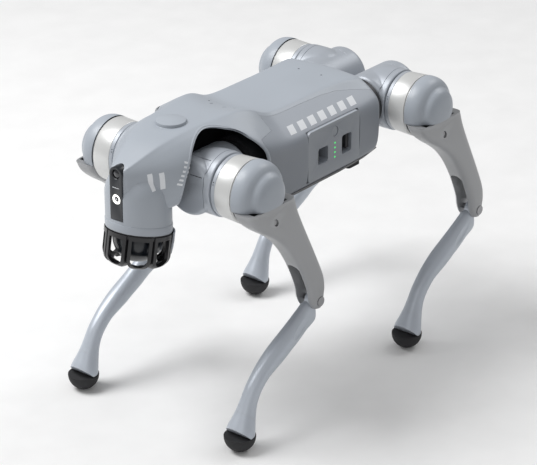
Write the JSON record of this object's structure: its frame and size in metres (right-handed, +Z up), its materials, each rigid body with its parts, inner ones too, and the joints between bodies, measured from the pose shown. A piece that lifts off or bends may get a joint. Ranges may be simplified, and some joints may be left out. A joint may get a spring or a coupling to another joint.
{
  "type": "quadruped robot dog",
  "caption": "Four-legged walking robot with three motor joints per leg, a camera head, a caged spinning scanner and a side battery.",
  "frame": {"origin": "on the ground under the middle of the robot's box at the standing rest pose", "axes": "+X forward to the camera, +Y to the robot's left (battery side), +Z up"},
  "size_m": [0.64, 0.328, 0.4339],
  "materials": {
    "frame_aluminium": "bead-blasted, dark",
    "shell_grey": "satin",
    "flank_grey": "satin",
    "belly_black": "satin",
    "rubber_black": "matt",
    "window_black": "gloss",
    "lens_glass": "gloss",
    "motor_black": "anodised",
    "guard_black": "satin",
    "board_green": "solder mask",
    "screw_steel": "satin",
    "dome_black": "gloss",
    "latch_black": "satin",
    "hip_grey": "painted, satin",
    "thigh_grey": "painted, satin",
    "linkage_aluminium": "machined",
    "calf_grey": "painted, satin"
  },
  "bodies": {
    "trunk": {"trunk_frame": "frame_aluminium", "back_shell": "shell_grey", "head_shell": "shell_grey", "left_flank": "flank_grey", "right_flank": "flank_grey", "belly_plate": "belly_black", "belly_pads": "rubber_black", "camera_window": "window_black", "camera_lens": "lens_glass", "head_puck": "shell_grey", "scanner_body": "motor_black", "scanner_guard": "guard_black", "abduction_motors": "motor_black", "control_board": "board_green", "shell_screws": "screw_steel"},
    "scanner": {"scanner_dome": "dome_black"},
    "battery": {"battery_case": "flank_grey"},
    "latch_front": {"battery_latch_front": "latch_black"},
    "latch_rear": {"battery_latch_rear": "latch_black"},
    "power_button": {"power_button": "flank_grey"},
    "front_left_hip": {"front_left_hip_housing": "hip_grey", "front_left_hip_motor": "motor_black"},
    "front_left_thigh": {"front_left_thigh_frame": "thigh_grey", "front_left_thigh_cap": "shell_grey", "front_left_calf_motor": "motor_black", "front_left_knee_pin": "screw_steel"},
    "front_left_crank": {"front_left_knee_crank": "screw_steel"},
    "front_left_rod": {"front_left_knee_rod": "linkage_aluminium"},
    "front_left_calf": {"front_left_calf_link": "calf_grey", "front_left_foot": "rubber_black"},
    "front_right_hip": {"front_right_hip_housing": "hip_grey", "front_right_hip_motor": "motor_black"},
    "front_right_thigh": {"front_right_thigh_frame": "thigh_grey", "front_right_thigh_cap": "shell_grey", "front_right_calf_motor": "motor_black", "front_right_knee_pin": "screw_steel"},
    "front_right_crank": {"front_right_knee_crank": "screw_steel"},
    "front_right_rod": {"front_right_knee_rod": "linkage_aluminium"},
    "front_right_calf": {"front_right_calf_link": "calf_grey", "front_right_foot": "rubber_black"},
    "rear_left_hip": {"rear_left_hip_housing": "hip_grey", "rear_left_hip_motor": "motor_black"},
    "rear_left_thigh": {"rear_left_thigh_frame": "thigh_grey", "rear_left_thigh_cap": "shell_grey", "rear_left_calf_motor": "motor_black", "rear_left_knee_pin": "screw_steel"},
    "rear_left_crank": {"rear_left_knee_crank": "screw_steel"},
    "rear_left_rod": {"rear_left_knee_rod": "linkage_aluminium"},
    "rear_left_calf": {"rear_left_calf_link": "calf_grey", "rear_left_foot": "rubber_black"},
    "rear_right_hip": {"rear_right_hip_housing": "hip_grey", "rear_right_hip_motor": "motor_black"},
    "rear_right_thigh": {"rear_right_thigh_frame": "thigh_grey", "rear_right_thigh_cap": "shell_grey", "rear_right_calf_motor": "motor_black", "rear_right_knee_pin": "screw_steel"},
    "rear_right_crank": {"rear_right_knee_crank": "screw_steel"},
    "rear_right_rod": {"rear_right_knee_rod": "linkage_aluminium"},
    "rear_right_calf": {"rear_right_calf_link": "calf_grey", "rear_right_foot": "rubber_black"}
  },
  "joints": [
    {"name": "scanner_spin", "type": "hinge", "parent": "trunk", "child": "scanner", "pos_m": [0.27209, 0, 0.29009], "axis": [0.1908, 0, -0.9816], "continuous": true},
    {"name": "battery_slide", "type": "slide", "parent": "trunk", "child": "battery", "axis": [0, -1, 0], "range_m": [-0.186, 0]},
    {"name": "latch_front_slide", "type": "slide", "parent": "battery", "child": "latch_front", "axis": [-1, 0, 0], "range_m": [0, 0.004], "stiffness_N_per_m": 400, "springref_m": -0.001},
    {"name": "latch_rear_slide", "type": "slide", "parent": "battery", "child": "latch_rear", "axis": [1, 0, 0], "range_m": [0, 0.004], "stiffness_N_per_m": 400, "springref_m": -0.001},
    {"name": "power_button_press", "type": "slide", "parent": "battery", "child": "power_button", "axis": [0, -1, 0], "range_m": [0, 0.0015], "stiffness_N_per_m": 1000, "springref_m": -0.0005},
    {"name": "front_left_swing", "type": "hinge", "parent": "trunk", "child": "front_left_hip", "pos_m": [0.18199, 0.0465, 0.35589], "axis": [1, 0, 0], "range_deg": [-40, 44]},
    {"name": "front_left_thigh_pitch", "type": "hinge", "parent": "front_left_hip", "child": "front_left_thigh", "pos_m": [0.18199, 0.142, 0.35589], "axis": [0, 1, 0], "range_deg": [-118.3, 68]},
    {"name": "front_left_knee", "type": "hinge", "parent": "front_left_thigh", "child": "front_left_calf", "pos_m": [0.08101, 0.142, 0.16835], "axis": [0, 1, 0], "range_deg": [-81.1, 26.9]},
    {"name": "front_left_crank_turn", "type": "hinge", "parent": "front_left_thigh", "child": "front_left_crank", "pos_m": [0.18199, 0.142, 0.35589], "axis": [0, 1, 0], "range_deg": [-81.1, 26.9]},
    {"name": "front_left_rod_swing", "type": "hinge", "parent": "front_left_crank", "child": "front_left_rod", "pos_m": [0.17404, 0.142, 0.36741], "axis": [0, 1, 0], "range_deg": [-26.9, 81.1]},
    {"name": "front_right_swing", "type": "hinge", "parent": "trunk", "child": "front_right_hip", "pos_m": [0.18199, -0.0465, 0.35589], "axis": [1, 0, 0], "range_deg": [-44, 40]},
    {"name": "front_right_thigh_pitch", "type": "hinge", "parent": "front_right_hip", "child": "front_right_thigh", "pos_m": [0.18199, -0.142, 0.35589], "axis": [0, 1, 0], "range_deg": [-118.3, 68]},
    {"name": "front_right_knee", "type": "hinge", "parent": "front_right_thigh", "child": "front_right_calf", "pos_m": [0.08101, -0.142, 0.16835], "axis": [0, 1, 0], "range_deg": [-81.1, 26.9]},
    {"name": "front_right_crank_turn", "type": "hinge", "parent": "front_right_thigh", "child": "front_right_crank", "pos_m": [0.18199, -0.142, 0.35589], "axis": [0, 1, 0], "range_deg": [-81.1, 26.9]},
    {"name": "front_right_rod_swing", "type": "hinge", "parent": "front_right_crank", "child": "front_right_rod", "pos_m": [0.17404, -0.142, 0.36741], "axis": [0, 1, 0], "range_deg": [-26.9, 81.1]},
    {"name": "rear_left_swing", "type": "hinge", "parent": "trunk", "child": "rear_left_hip", "pos_m": [-0.20481, 0.0465, 0.35589], "axis": [1, 0, 0], "range_deg": [-40, 48]},
    {"name": "rear_left_thigh_pitch", "type": "hinge", "parent": "rear_left_hip", "child": "rear_left_thigh", "pos_m": [-0.20481, 0.142, 0.35589], "axis": [0, 1, 0], "range_deg": [-36, 171.7]},
    {"name": "rear_left_knee", "type": "hinge", "parent": "rear_left_thigh", "child": "rear_left_calf", "pos_m": [-0.30579, 0.142, 0.16835], "axis": [0, 1, 0], "range_deg": [-81.1, 26.9]},
    {"name": "rear_left_crank_turn", "type": "hinge", "parent": "rear_left_thigh", "child": "rear_left_crank", "pos_m": [-0.20481, 0.142, 0.35589], "axis": [0, 1, 0], "range_deg": [-81.1, 26.9]},
    {"name": "rear_left_rod_swing", "type": "hinge", "parent": "rear_left_crank", "child": "rear_left_rod", "pos_m": [-0.21276, 0.142, 0.36741], "axis": [0, 1, 0], "range_deg": [-26.9, 81.1]},
    {"name": "rear_right_swing", "type": "hinge", "parent": "trunk", "child": "rear_right_hip", "pos_m": [-0.20481, -0.0465, 0.35589], "axis": [1, 0, 0], "range_deg": [-48, 40]},
    {"name": "rear_right_thigh_pitch", "type": "hinge", "parent": "rear_right_hip", "child": "rear_right_thigh", "pos_m": [-0.20481, -0.142, 0.35589], "axis": [0, 1, 0], "range_deg": [-36, 171.7]},
    {"name": "rear_right_knee", "type": "hinge", "parent": "rear_right_thigh", "child": "rear_right_calf", "pos_m": [-0.30579, -0.142, 0.16835], "axis": [0, 1, 0], "range_deg": [-81.1, 26.9]},
    {"name": "rear_right_crank_turn", "type": "hinge", "parent": "rear_right_thigh", "child": "rear_right_crank", "pos_m": [-0.20481, -0.142, 0.35589], "axis": [0, 1, 0], "range_deg": [-81.1, 26.9]},
    {"name": "rear_right_rod_swing", "type": "hinge", "parent": "rear_right_crank", "child": "rear_right_rod", "pos_m": [-0.21276, -0.142, 0.36741], "axis": [0, 1, 0], "range_deg": [-26.9, 81.1]}
  ],
  "couplings": [
    {"joint": "front_left_crank_turn", "follows": "front_left_knee", "ratio": 1},
    {"joint": "front_left_rod_swing", "follows": "front_left_knee", "ratio": -1},
    {"joint": "front_right_crank_turn", "follows": "front_right_knee", "ratio": 1},
    {"joint": "front_right_rod_swing", "follows": "front_right_knee", "ratio": -1},
    {"joint": "rear_left_crank_turn", "follows": "rear_left_knee", "ratio": 1},
    {"joint": "rear_left_rod_swing", "follows": "rear_left_knee", "ratio": -1},
    {"joint": "rear_right_crank_turn", "follows": "rear_right_knee", "ratio": 1},
    {"joint": "rear_right_rod_swing", "follows": "rear_right_knee", "ratio": -1}
  ]
}
